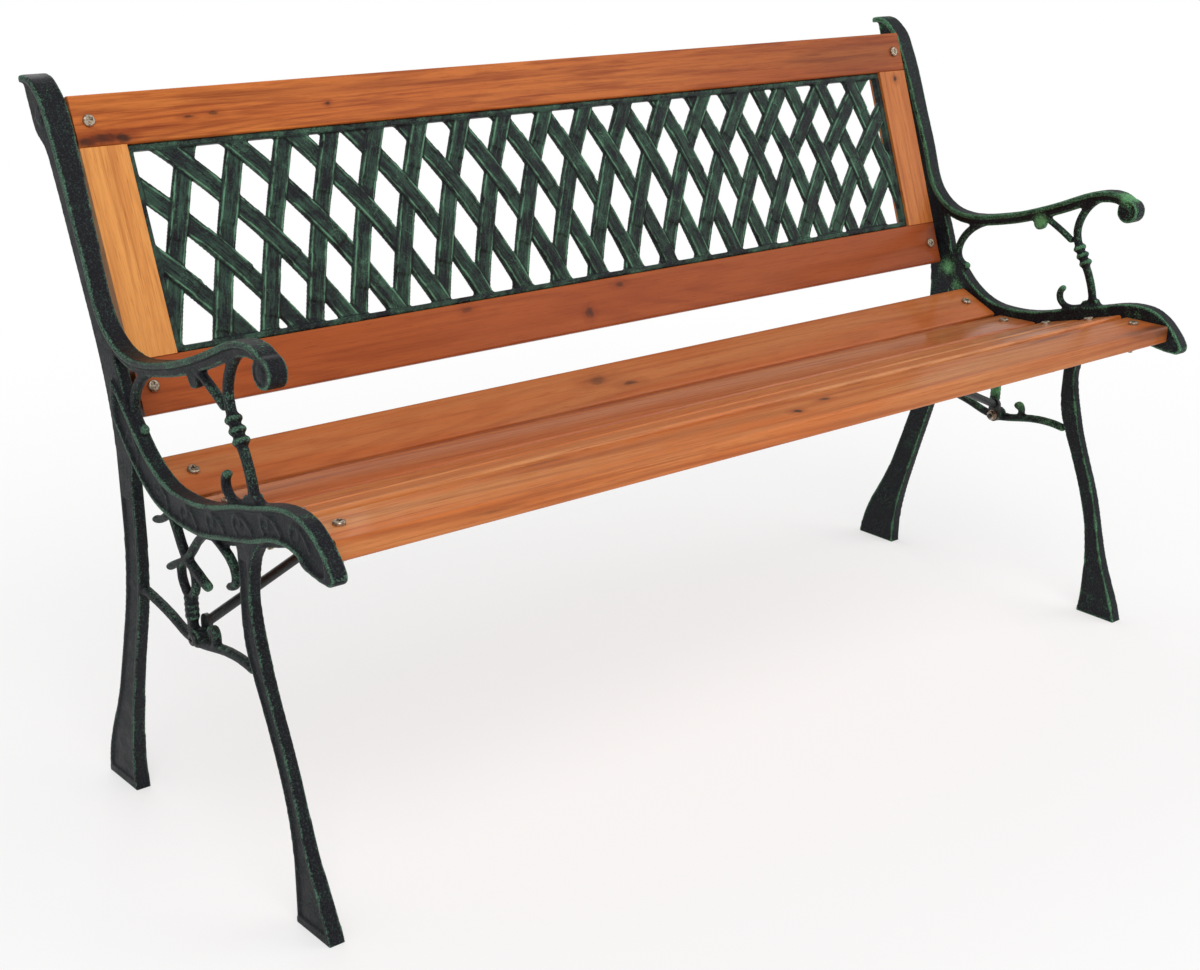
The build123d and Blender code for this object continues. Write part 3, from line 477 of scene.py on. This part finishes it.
@dataclass(frozen=True)
class Varnish:
    """Stained board under glossy varnish.

    Its patterns are drawn out along the grain: narrow, fibrous, wavy and broad are the width of each for
    one unit of its length. A band is where on a pattern the dark colour sets in and where it is full.
    The board gets darker from one end of deepening to the other, in metres along the bench.
    """

    name: str
    stain: Stain
    grain: Grain = Grain.LENGTHWISE
    seed: float = 0.0
    rings: float = 34.0
    figure: float = 0.35
    streak: float = 0.5
    pores: float = 0.45
    ripple: float = 0.0
    deepen: float = 0.0
    knots: tuple[Knot, ...] = ()
    knot: Colour = (0.040, 0.015, 0.008)
    coat: float = 0.14
    gloss: float = 0.16
    coat_index: float = 1.5
    shine: float = 0.12
    growth: Noise = Noise(8.5, 2, 0.45, 0.5)
    streaks: Noise = Noise(60, 4, 0.62)
    lines: Noise = Noise(230, 4, 0.65)
    fibres: Noise = Noise(850, 4, 0.7)
    mottle: Noise = Noise(24, 5, 0.62, 0.4)
    waves: Noise = Noise(190, 3, 0.55)
    narrow: float = 0.018
    fibrous: float = 0.045
    wavy: float = 0.055
    broad: float = 0.07
    ring_rate: float = 6.0
    ring_band: Band = (-0.2, 1.0)
    ring_least: float = 0.1
    mottle_band: Band = (0.34, 0.68)
    figure_band: Band = (0.35, 0.65)
    streak_band: Band = (0.48, 0.78)
    line_band: Band = (0.52, 0.70)
    pore_band: Band = (0.50, 0.72)
    wave_band: Band = (0.46, 0.68)
    deepening: Band = (-0.35, 0.62)
    roughness: Band = (0.42, 0.54)
    fibre_depth: float = 0.05 * MM
    knot_noise: float = 900.0
    ragged: float = 1.6
    knot_band: Band = (0.25, 1.0)
    halo_band: Band = (0.9, 2.2)
    halo: float = 0.45

    def build(self) -> bpy.types.Material:
        """Makes the material.

        Returns:
            The material.
        """
        s = Shader(self.name)
        light, mid, dark = self.stain.value
        narrow, broad = self.drawn(s, self.narrow), self.drawn(s, self.broad)
        growth = s.noise(broad, self.growth)
        wave = s.maths("SINE", s.maths("MULTIPLY", growth, self.rings * self.ring_rate))
        rings = s.span(wave, self.ring_band)
        streaks = s.noise(narrow, self.streaks)
        lines = s.noise(narrow, self.lines)
        fibre = s.noise(self.drawn(s, self.fibrous), self.fibres)
        mottle = s.noise(broad, self.mottle)
        colour = s.mix(s.span(mottle, self.mottle_band), light, mid)
        figure = s.span(streaks, self.figure_band, self.ring_least, self.figure)
        colour = s.mix(s.maths("MULTIPLY", rings, figure), colour, dark)
        for pattern, band, share in ((streaks, self.streak_band, self.streak),
                                     (lines, self.line_band, self.streak),
                                     (fibre, self.pore_band, self.pores)):
            colour = s.mix(s.span(pattern, band, 0.0, share), colour, dark)
        if self.ripple:
            waves = s.noise(self.drawn(s, self.wavy), self.waves)
            colour = s.mix(s.span(waves, self.wave_band, 0.0, self.ripple), colour, dark)
        if self.deepen:
            colour = s.mix(s.span(s.part(s.place(), "X"), self.deepening, 0.0, self.deepen), colour, dark)
        for index, knot in enumerate(self.knots):
            colour = self.stained(s, colour, knot, index)
        rough = s.span(fibre, NOISE_BAND, *self.roughness)
        normal = s.bump(fibre, self.fibre_depth)
        return s.finish(colour, rough, normal, Specular_IOR_Level=self.shine, Coat_Weight=self.coat,
                        Coat_Roughness=self.gloss, Coat_IOR=self.coat_index)

    def drawn(self, s: Shader, share: float) -> Socket:
        """Coordinates for a pattern that is drawn out along the grain.

        Args:
            s: the shader being built.
            share: the pattern's width for each unit of its length.

        Returns:
            The vector socket, moved to the board's own part of the pattern.
        """
        scale = (share, 1.0, 1.0) if self.grain is Grain.LENGTHWISE else (1.0, share, share)
        return s.place(scale, tuple(self.seed * step for step in SEED_STEP))

    def stained(self, s: Shader, colour: Socket, knot: Knot, index: int) -> Socket:
        """Lays one knot over the board's colour, with a dark halo and a ragged outline.

        Args:
            s: the shader being built.
            colour: the board's colour so far.
            knot: the knot.
            index: its number, which varies its outline.

        Returns:
            The colour with the knot.
        """
        share = 1 / knot.drawn
        scale = (share, 1.0, 1.0) if self.grain is Grain.LENGTHWISE else (1.0, 1.0, share)
        spot = s.add("ShaderNodeVectorMath", operation="DISTANCE")
        s.join(s.place(scale), spot.inputs[0])
        spot.inputs[1].default_value = tuple(a * b * MM for a, b in zip(knot.at, scale))
        outline = Noise(self.knot_noise / knot.radius, 4, 0.65)
        ragged = s.noise(s.place(scale, (index * KNOT_STEP, 0, 0)), outline)
        reach = s.maths("ADD", s.maths("DIVIDE", spot.outputs["Value"], knot.radius * MM),
                        s.maths("MULTIPLY", s.maths("SUBTRACT", ragged, 0.5), self.ragged))
        dark = self.stain.value[-1]
        halo = s.mix(s.span(reach, self.halo_band, self.halo * knot.depth, 0.0), colour, dark)
        return s.mix(s.span(reach, self.knot_band, knot.depth, 0.0), halo, self.knot)


@dataclass(frozen=True)
class Zinc:
    """Zinc plate on the fixings, gone dull in places. Its tan is partly the plate's own golden tone and
    partly a painted reflection of the varnished wood.
    """

    name: str = "zinc_plate"
    # Tan: partly the golden tone of the plate, partly a painted reflection of the varnished wood around it.
    colour: Colour = (0.52, 0.43, 0.33)
    dull: Colour = (0.15, 0.11, 0.075)
    cloud: Noise = Noise(420, 4, 0.65)
    dulled: Band = (0.4, 0.65)
    roughness: Band = (0.28, 0.5)
    depth: float = 0.05 * MM
    metal: float = 0.9

    def build(self) -> bpy.types.Material:
        """Makes the material.

        Returns:
            The material.
        """
        s = Shader(self.name)
        cloud = s.noise(s.place(), self.cloud)
        colour = s.mix(s.span(cloud, self.dulled), self.colour, self.dull)
        rough = s.span(cloud, NOISE_BAND, *self.roughness)
        return s.finish(colour, rough, s.bump(cloud, self.depth), Metallic=self.metal)


@dataclass(frozen=True)
class RodPaint:
    """Satin black paint on the brace rods."""

    name: str = "rod_paint"
    dark: Colour = (0.012, 0.014, 0.015)
    pale: Colour = (0.035, 0.05, 0.045)
    speck: Noise = Noise(300, 4, 0.65)
    worn: Band = (0.5, 0.75)
    roughness: Band = (0.36, 0.52)
    depth: float = 0.1 * MM

    def build(self) -> bpy.types.Material:
        """Makes the material.

        Returns:
            The material.
        """
        s = Shader(self.name)
        speck = s.noise(s.place(), self.speck)
        colour = s.mix(s.span(speck, self.worn), self.dark, self.pale)
        rough = s.span(speck, NOISE_BAND, *self.roughness)
        return s.finish(colour, rough, s.bump(speck, self.depth))


def link(obj: bpy.types.Object) -> bpy.types.Object:
    """Puts an object in the scene."""
    bpy.context.scene.collection.objects.link(obj)
    return obj


def paint(obj: bpy.types.Object, material: bpy.types.Material) -> None:
    """Gives an object one material all over."""
    obj.data.materials.clear()
    obj.data.materials.append(material)


def merged_copy(node: str, name: str) -> bpy.types.Object:
    """A copy of a solid with its seams closed.

    Args:
        node: the CAD node.
        name: the new piece's name.

    Returns:
        The new object, at the origin.
    """
    mesh = bpy.data.meshes.new(name)
    bm = bmesh.new()
    bm.from_mesh(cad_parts[node].data)
    bmesh.ops.remove_doubles(bm, verts=bm.verts, dist=SEAM)
    bm.to_mesh(mesh)
    bm.free()
    for loose in ("custom_normal", "sharp_face", "sharp_edge"):
        if loose in mesh.attributes:
            mesh.attributes.remove(mesh.attributes[loose])
    return link(bpy.data.objects.new(name, mesh))


def settle(obj: bpy.types.Object) -> None:
    """Makes an object's modifiers part of its mesh.

    Args:
        obj: the object.
    """
    bpy.context.view_layer.update()
    shown = obj.evaluated_get(bpy.context.evaluated_depsgraph_get())
    mesh = bpy.data.meshes.new_from_object(shown)
    obj.modifiers.clear()
    obj.data = mesh


def gather(items: Any, key: str, width: int = 1, kind: type = float) -> np.ndarray:
    """Reads one property of every item of a mesh.

    Args:
        items: the mesh's vertices, edges, polygons or loops.
        key: the property's name.
        width: how many numbers each item has.
        kind: the type of the numbers.

    Returns:
        One number, or one row of numbers, per item.
    """
    values = np.zeros(len(items) * width, kind)
    items.foreach_get(key, values)
    return values if width == 1 else values.reshape(-1, width)


def store(mesh: bpy.types.Mesh, name: str, values: np.ndarray, domain: str = "POINT") -> None:
    """Keeps one number per vertex, or per corner, in a mesh.

    Args:
        mesh: the mesh.
        name: the attribute's name.
        values: the numbers.
        domain: POINT or CORNER.
    """
    layer = mesh.attributes.new(name, "FLOAT", domain)
    layer.data.foreach_set("value", values.astype(np.float32))


def neighbours_mean(values: np.ndarray, edges: np.ndarray) -> np.ndarray:
    """Mean of each vertex's neighbours.

    Args:
        values: one row per vertex.
        edges: pairs of vertices.

    Returns:
        One row per vertex.
    """
    ends = np.concatenate([edges[:, 0], edges[:, 1]])
    others = np.concatenate([edges[:, 1], edges[:, 0]])
    count = np.maximum(np.bincount(ends, minlength=len(values)), 1)
    columns = [np.bincount(ends, values[others, axis], len(values)) for axis in range(values.shape[1])]
    return np.stack(columns, 1) / count[:, None]


@dataclass
class CastSkin:
    """The skin that sand casting and brushed paint leave on a solid."""

    voxel: float = 1.5 * MM
    triangles: int = 190_000
    softening: int = 3
    ease: float = 0.5
    reach: int = 5
    full_wear: float = 0.42 * MM

    def grow(self, obj: bpy.types.Object) -> np.ndarray:
        """Rounds every edge a little and marks what stands out.

        Args:
            obj: the piece.

        Returns:
            The vertices' places.
        """
        remesh = obj.modifiers.new("skin", "REMESH")
        remesh.mode, remesh.voxel_size = "VOXEL", self.voxel
        settle(obj)
        bm = bmesh.new()
        bm.from_mesh(obj.data)
        for _ in range(self.softening):
            bmesh.ops.smooth_vert(bm, verts=bm.verts, factor=self.ease,
                                  use_axis_x=True, use_axis_y=True, use_axis_z=True)
        bm.to_mesh(obj.data)
        bm.free()
        faces = triangles(obj)
        if faces > self.triangles:
            thin = obj.modifiers.new("thin", "DECIMATE")
            thin.ratio = self.triangles / faces
            settle(obj)
        obj.data.shade_smooth()
        return self.mark(obj.data)

    def mark(self, mesh: bpy.types.Mesh) -> np.ndarray:
        """Writes how far each vertex stands out of its surroundings, -1 to 1, as wear.

        Args:
            mesh: the piece's mesh.

        Returns:
            The vertices' places.
        """
        places = gather(mesh.vertices, "co", 3)
        normals = gather(mesh.vertices, "normal", 3)
        edges = gather(mesh.edges, "vertices", 2, int)
        around = places.copy()
        for _ in range(self.reach):
            around = 0.5 * around + 0.5 * neighbours_mean(around, edges)
        out = ((places - around) * normals).sum(1, keepdims=True)
        out = 0.5 * out + 0.5 * neighbours_mean(out, edges)
        store(mesh, "wear", np.clip(out[:, 0] / self.full_wear, -1, 1))
        return places


@dataclass(frozen=True)
class Rub:
    """A place where the brush went over more than once: centre and radius in millimetres, and how much."""

    at: Place
    radius: float
    weight: float = 1.0
    fade: float = 1.4

    def cover(self, places: np.ndarray) -> np.ndarray:
        """How much extra green each place got: the weight near the centre, and none beyond the fade.

        Args:
            places: the places, in metres.

        Returns:
            One value per place.
        """
        away = np.linalg.norm(places - np.array(self.at) * MM, axis=1) / (self.radius * MM)
        return self.weight * np.clip(self.fade - away, 0, 1)


LEFT_RUBS: tuple[Rub, ...] = (
    Rub((-595, -144, 538), 16, 0.40), Rub((-595, -215, 404), 24, 0.45), Rub((-600, 221, 719), 22, 0.45),
    Rub((-598, -101, 465), 14, 0.40), Rub((-600, -14, 181), 18, 0.35))
RIGHT_RUBS: tuple[Rub, ...] = (
    Rub((598, -162, 540), 20, 0.95), Rub((600, -165, 520), 12, 0.9), Rub((600, -36, 493), 18, 1.0),
    Rub((588, 102, 412), 17, 0.9), Rub((588, 86, 392), 15, 0.7), Rub((596, 5, 268), 22, 1.0),
    Rub((596, -36, 250), 11, 0.8), Rub((596, -78, 241), 22, 0.7), Rub((598, 250, 716), 18, 0.5),
    Rub((596, -108, 475), 14, 0.6), Rub((598, -40, 540), 18, 0.45), Rub((595, -190, 398), 22, 0.4))


@dataclass
class Casting:
    """A painted casting that takes the place of its solid."""

    node: str
    finish: CastingPaint
    rubs: Sequence[Rub] = ()
    skin: CastSkin = field(default_factory=CastSkin)

    def build(self) -> bpy.types.Object:
        """Makes the painted casting.

        Returns:
            The piece.
        """
        obj = merged_copy(self.node, self.node + "_painted")
        places = self.skin.grow(obj)
        covers = [rub.cover(places) for rub in self.rubs]
        store(obj.data, "rub", np.max([np.zeros(len(places)), *covers], axis=0))
        self.mark(obj.data, places)
        paint(obj, self.finish.build())
        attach(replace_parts(obj, self.node), ROOT)
        return obj

    def mark(self, mesh: bpy.types.Mesh, places: np.ndarray) -> None:
        """Adds what else the paint reads: nothing on a plain casting.

        Args:
            mesh: the piece's mesh.
            places: its vertices' places.
        """


@dataclass(frozen=True)
class Straps:
    """Where the panel's straps run, in millimetres: across from the middle, down by share of the height."""

    shift: float = 4.2
    pitch: float = 56.5
    first: float = 18.2
    spread: float = 0.468
    recovery: float = 0.028
    run: float = 96.3
    fan: float = 0.0642
    fan_slowing: float = 0.003
    bow: float = 7.8
    bow_fall: float = 0.753
    bow_slowing: float = 0.03
    most: int = 9
    width: float = 19.9

    def locate(self, number: np.ndarray, family: np.ndarray, across: np.ndarray, share: np.ndarray,
               height: float) -> tuple[np.ndarray, np.ndarray]:
        """Places points against the middle line of a strap.

        Args:
            number: the strap's number, counted from the middle.
            family: 1 or -1, the way it leans.
            across: the points' places to the side.
            share: their share of the height, from the top.
            height: the panel's height.

        Returns:
            How far each is from the line and how far along it.
        """
        middle = self.first + self.pitch * number - self.spread * number ** 2 + self.recovery * number ** 3
        travel = self.run * np.exp(-self.fan * number + self.fan_slowing * number ** 2)
        bow = self.bow - self.bow_fall * number + self.bow_slowing * number ** 2
        line = family * (middle + travel * (share - 0.5) + bow * (4 * share * (1 - share) - 2 / 3))
        slant = np.hypot(1.0, (travel + bow * (4 - 8 * share)) / height)
        return (across - self.shift - line) / slant, share * height * slant

    def nearest(self, family: int, across: np.ndarray, share: np.ndarray,
                height: float) -> tuple[np.ndarray, np.ndarray]:
        """The strap of one family that is nearest to each point.

        Args:
            family: 1 or -1.
            across: the points' places to the side.
            share: their share of the height.
            height: the panel's height.

        Returns:
            The straps' numbers and how far off their middle lines the points are.
        """
        offers = np.arange(-self.most, self.most + 1)
        away = np.array([np.abs(self.locate(n, family, across, share, height)[0]) for n in offers])
        best = away.argmin(0)
        return offers[best], away.min(0)


@dataclass
class Lattice(Casting):
    """The woven panel: its straps fan out from the middle, and one family passes over the other by turns."""

    node: str = "lattice_panel"
    finish: CastingPaint = LatticePaint()
    skin: CastSkin = field(default_factory=lambda: CastSkin(voxel=1.2 * MM, softening=1, full_wear=0.36 * MM))
    straps: Straps = Straps()
    tongue: float = 4.5
    rim: float = 11.0
    # The reach given to places with nothing passing over them, far beyond the painted shade.
    unshaded_reach: float = 30.0
    lap: float = 370.0

    def mark(self, mesh: bpy.types.Mesh, places: np.ndarray) -> None:
        """Lays a map along the strap that is uppermost at each face, and marks how far each place is from the
        edge of a strap or rim above it, for the painted shade there.

        Each strap has its own stretch of the map, one lap further on, so no two show the same brush marks.

        Args:
            mesh: the panel's mesh.
            places: its vertices' places.
        """
        facing = np.linalg.svd(places - places.mean(0), full_matrices=False)[2][2]
        facing *= -np.sign(facing[1])
        upward = np.cross(facing, (1.0, 0.0, 0.0))
        heights = places @ upward / MM
        top = heights.max() - self.tongue
        height = top - heights.min() - self.tongue
        half = np.abs(places[:, 0]).max() / MM

        def flat(points: np.ndarray) -> tuple[np.ndarray, np.ndarray]:
            """Places to the side in millimetres, and as a share of the height from the top."""
            return points[:, 0] / MM, (top - points @ upward / MM) / height

        across, share = flat(gather(mesh.polygons, "center", 3))
        front = gather(mesh.polygons, "normal", 3) @ facing > 0.0
        one, one_away = self.straps.nearest(1, across, share, height)
        two, two_away = self.straps.nearest(-1, across, share, height)
        one_over = ((one + two) % 2 == 0) == front
        crossing = (one_away < self.straps.width / 2) & (two_away < self.straps.width / 2)
        shown = np.where(crossing, one_over, one_away < two_away)

        corner = np.repeat(np.arange(len(mesh.polygons)), gather(mesh.polygons, "loop_total", kind=int))
        across, share = flat(places[gather(mesh.loops, "vertex_index", kind=int)])
        family = np.where(shown, 1, -1)[corner]
        number = np.where(shown, one, two)[corner]
        other = np.where(shown, two, one)[corner]
        away, along = self.straps.locate(number, family, across, share, height)
        # How far each place is from the edge of the other strap where that one passes over: the reach of the
        # painted shade.
        shade_reach = np.abs(self.straps.locate(other, -family, across, share, height)[0]) - self.straps.width / 2
        shade_reach = np.where((shown == one_over)[corner], self.unshaded_reach, shade_reach)
        edge = np.minimum(half - self.rim - np.abs(across),
                          height * (0.5 - np.abs(share - 0.5)) - self.rim + self.tongue)
        on_rim = edge < 0
        shade_reach = np.where(on_rim, self.unshaded_reach, np.minimum(shade_reach, edge))
        away = np.where(on_rim, 0.0, away)
        along = np.where(on_rim, across + share * height, along + self.lap * number * family)
        layer = mesh.uv_layers.new(name="straps")
        layer.data.foreach_set("uv", (np.stack([away, along], 1) * MM).astype(np.float32).ravel())
        store(mesh, "under", shade_reach * MM, "CORNER")


@dataclass
class Board:
    """One board of the back or of the seat."""

    node: str
    finish: Varnish

    def build(self) -> bpy.types.Object:
        """Varnishes the board.

        Returns:
            The board.
        """
        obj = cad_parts[self.node]
        paint(obj, self.finish.build())
        return obj


@dataclass
class Fixings:
    """Bolts, washers, nuts, screws and brace rods."""

    zinc: Sequence[str] = ("seat_bolts", "seat_washers", "seat_nuts", "back_bolts", "back_washers",
                           "back_nuts", "brace_washers", "brace_nuts", "brace_screws")
    painted: Sequence[str] = ("brace_bolts", "right_brace_rod", "left_brace_rod")

    def build(self) -> list[bpy.types.Object]:
        """Finishes every fixing.

        Returns:
            The fixings.
        """
        plate, black = Zinc().build(), RodPaint().build()
        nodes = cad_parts
        for names, material in ((self.zinc, plate), (self.painted, black)):
            for name in names:
                paint(nodes[name], material)
        return [nodes[name] for name in (*self.zinc, *self.painted)]


TOP_RAIL_KNOTS: tuple[Knot, ...] = (
    Knot((-573, 199, 665), 6, 2.8), Knot((-556, 199, 666), 6, 2.2), Knot((-538, 199, 666), 6, 2.0),
    Knot((-466, 204, 679), 2.2, 4.0, 0.8), Knot((-437, 205, 680), 3, 3.0, 0.6),
    Knot((-305, 205, 680), 3, 1.4, 0.8), Knot((480, 203, 680), 26, 6.0, 0.22))
LOWER_RAIL_KNOTS: tuple[Knot, ...] = (
    Knot((-25, 115, 438), 8, 1.0, 0.75), Knot((-191, 124, 463), 5, 2.0, 0.5),
    Knot((26, 124, 461), 4, 2.6, 0.7), Knot((588, 124, 452), 26, 1.0, 0.35))
REAR_SLAT_KNOTS: tuple[Knot, ...] = (Knot((-67, 51, 379), 10, 2.2, 0.55), Knot((-30, 36, 375), 5, 3.5, 0.8))
FRONT_SLAT_KNOTS: tuple[Knot, ...] = (
    Knot((-23, -213, 398), 6, 1.5, 0.95), Knot((31, -200, 398), 5, 2.2, 0.85),
    Knot((545, -236, 396), 12, 5.0, 0.5), Knot((590, -238, 394), 16, 3.0, 0.6),
    Knot((430, -190, 398), 5, 12.0, 0.4), Knot((-420, -244, 388), 5, 12.0, 0.45),
    Knot((-330, -185, 398), 4, 12.0, 0.35))


@dataclass
class Timber:
    """All the boards of the bench."""

    boards: Sequence[Board] = (
        Board("top_back_rail", Varnish(
            "top_rail_wood", Stain.RED, seed=1.3, figure=0.40, streak=0.52, ripple=0.50, deepen=0.50,
            knots=TOP_RAIL_KNOTS)),
        Board("lower_back_rail", Varnish(
            "lower_rail_wood", Stain.BROWN, seed=2.9, rings=20, figure=0.25, streak=0.30, deepen=0.32,
            knots=LOWER_RAIL_KNOTS)),
        Board("right_back_stile", Varnish(
            "right_stile_wood", Stain.AMBER, Grain.UPRIGHT, seed=4.1, rings=24, figure=0.25, pores=0.55,
            knots=(Knot((562, 193, 650), 5, 1.2, 0.95),))),
        Board("left_back_stile", Varnish(
            "left_stile_wood", Stain.YELLOW, Grain.UPRIGHT, seed=5.7, rings=28, figure=0.25, pores=0.55)),
        Board("rear_seat_slat", Varnish(
            "rear_slat_wood", Stain.ORANGE, seed=6.2, rings=22, figure=0.20, streak=0.30, coat=0.35,
            gloss=0.14, knots=REAR_SLAT_KNOTS)),
        Board("second_seat_slat", Varnish(
            "second_slat_wood", Stain.ORANGE, seed=7.9, figure=0.4, coat=0.7, gloss=0.14,
            knots=(Knot((-448, 30, 364), 5, 4.0, 0.95),))),
        Board("third_seat_slat", Varnish(
            "third_slat_wood", Stain.PALE, seed=8.4, figure=0.4, coat=0.6, gloss=0.14)),
        Board("fourth_seat_slat", Varnish(
            "fourth_slat_wood", Stain.PALE, seed=9.6, figure=0.45, coat=0.45, gloss=0.15)),
        Board("front_seat_slat", Varnish(
            "front_slat_wood", Stain.PALE, seed=10.8, rings=26, figure=0.40, deepen=0.30, coat=0.28,
            gloss=0.18, knots=FRONT_SLAT_KNOTS)),
    )

    def build(self) -> list[bpy.types.Object]:
        """Varnishes every board."""
        return [board.build() for board in self.boards]


@dataclass
class Camera:
    """The camera: its place in metres, its turn as x, y and z angles, its lens and its rise and shift."""

    place: Place = (-1.31262, -1.42082, 0.91986)
    turn: Place = (1.17663, -0.0104968, -0.6949714)
    lens: float = 53.593
    sensor: float = 36.0
    shift: tuple[float, float] = (0.00888, 0.09329)
    clip: Band = (0.05, 100.0)

    def build(self) -> bpy.types.Object:
        """Makes the scene's camera.

        Returns:
            The camera.
        """
        data = bpy.data.cameras.new("camera")
        data.sensor_width, data.lens = self.sensor, self.lens
        data.shift_x, data.shift_y = self.shift
        data.clip_start, data.clip_end = self.clip
        obj = link(bpy.data.objects.new("camera", data))
        obj.location, obj.rotation_euler = self.place, Euler(self.turn)
        bpy.context.scene.camera = obj
        return obj


@dataclass(frozen=True)
class Lamp:
    """A soft square lamp: its place and side in metres, its power in watts, and what it is aimed at."""

    name: str
    place: Place
    size: float
    power: float
    aim: Place = (0.0, 0.0, 0.4)

    def build(self) -> bpy.types.Object:
        """Makes the lamp.

        Returns:
            The lamp.
        """
        data = bpy.data.lights.new(self.name, "AREA")
        data.shape, data.size, data.energy = "SQUARE", self.size, self.power
        obj = link(bpy.data.objects.new(self.name, data))
        obj.location = self.place
        aim = Vector(self.aim) - Vector(self.place)
        obj.rotation_euler = aim.to_track_quat("-Z", "Y").to_euler()
        return obj


@dataclass
class Studio:
    """A pale floor, a plain sky and soft lamps.

    The floor shows its own paper and shadow near the bench and turns plain white between near and far.
    """

    paper: Colour = (0.93, 0.93, 0.93)
    roughness: float = 0.9
    shine: float = 0.1
    sky: float = 0.55
    half: float = 14.0
    lift: float = 0.55
    near: float = 0.7
    far: float = 2.1
    lamps: Sequence[Lamp] = (
        Lamp("key", (-1.6, -2.6, 3.4), 2.6, 70.0),
        Lamp("fill", (2.6, -1.8, 2.2), 2.6, 30.0),
        Lamp("back", (0.4, 2.8, 2.6), 2.4, 35.0),
    )

    def build(self) -> None:
        """Makes the floor, the world and the lamps."""
        mesh = bpy.data.meshes.new("floor")
        bm = bmesh.new()
        bmesh.ops.create_grid(bm, x_segments=1, y_segments=1, size=self.half)
        bm.to_mesh(mesh)
        bm.free()
        floor = link(bpy.data.objects.new("floor", mesh))
        paint(floor, self.floor_finish())
        self.world()
        for lamp in self.lamps:
            lamp.build()

    def floor_finish(self) -> bpy.types.Material:
        """Matt paper that takes the shadow, plain white further off where it is seen or reflected.

        Returns:
            The material.
        """
        s = Shader("floor_paper")
        s.finish(self.paper, self.roughness, Specular_IOR_Level=self.shine)
        path = s.add("ShaderNodeLightPath")
        glow = s.add("ShaderNodeEmission")
        glow.inputs["Color"].default_value = WHITE
        away = s.add("ShaderNodeVectorMath", operation="LENGTH")
        s.join(s.place(), away.inputs[0])
        far = s.span(away.outputs["Value"], (self.near, self.far), self.lift, 1.0)
        seen = s.maths("MAXIMUM", path.outputs["Is Camera Ray"], path.outputs["Is Glossy Ray"])
        seen = s.maths("MAXIMUM", seen, path.outputs["Is Transmission Ray"])
        blend = s.add("ShaderNodeMixShader")
        s.join(s.maths("MULTIPLY", seen, far), blend.inputs["Fac"])
        s.join(s.surface.outputs["BSDF"], blend.inputs[1])
        s.join(glow.outputs["Emission"], blend.inputs[2])
        s.join(blend.outputs["Shader"], s.output.inputs["Surface"])
        return s.material

    def world(self) -> None:
        """A plain sky that shows white to the camera and through glass."""
        world = bpy.data.worlds.new("sky")
        bpy.context.scene.world = world
        world.use_nodes = True
        tree = world.node_tree
        sky = tree.nodes["Background"]
        path = tree.nodes.new("ShaderNodeLightPath")
        either = tree.nodes.new("ShaderNodeMath")
        either.operation = "MAXIMUM"
        tree.links.new(path.outputs["Is Camera Ray"], either.inputs[0])
        tree.links.new(path.outputs["Is Transmission Ray"], either.inputs[1])
        level = tree.nodes.new("ShaderNodeMapRange")
        level.inputs["To Min"].default_value = self.sky
        level.inputs["To Max"].default_value = 1.0
        tree.links.new(either.outputs["Value"], level.inputs["Value"])
        tree.links.new(level.outputs["Result"], sky.inputs["Strength"])
        sky.inputs["Color"].default_value = WHITE


def triangles(piece: bpy.types.Object) -> int:
    """How many triangles a piece has."""
    return sum(len(polygon.vertices) - 2 for polygon in piece.data.polygons)


def report(pieces: Iterable[bpy.types.Object]) -> None:
    """Logs each piece with its triangles."""
    for piece in pieces:
        log.info("%s: %d triangles", piece.name, triangles(piece))


def main() -> None:
    """Builds the bench's pieces in order."""
    Camera().build()
    Studio().build()
    left_paint = CastingPaint("left_casting_paint")
    right_paint = CastingPaint("right_casting_paint", edge=(0.120, 0.330, 0.160), dusting=0.85,
                               worn=(0.28, 0.95))
    report([Casting("left_end_casting", left_paint, LEFT_RUBS).build()])
    report([Casting("right_end_casting", right_paint, RIGHT_RUBS).build()])
    report([Lattice().build()])
    report(Timber().build())
    report(Fixings().build())
    bpy.context.scene.view_settings.view_transform = "Standard"


if __name__ == "__main__":
    main()
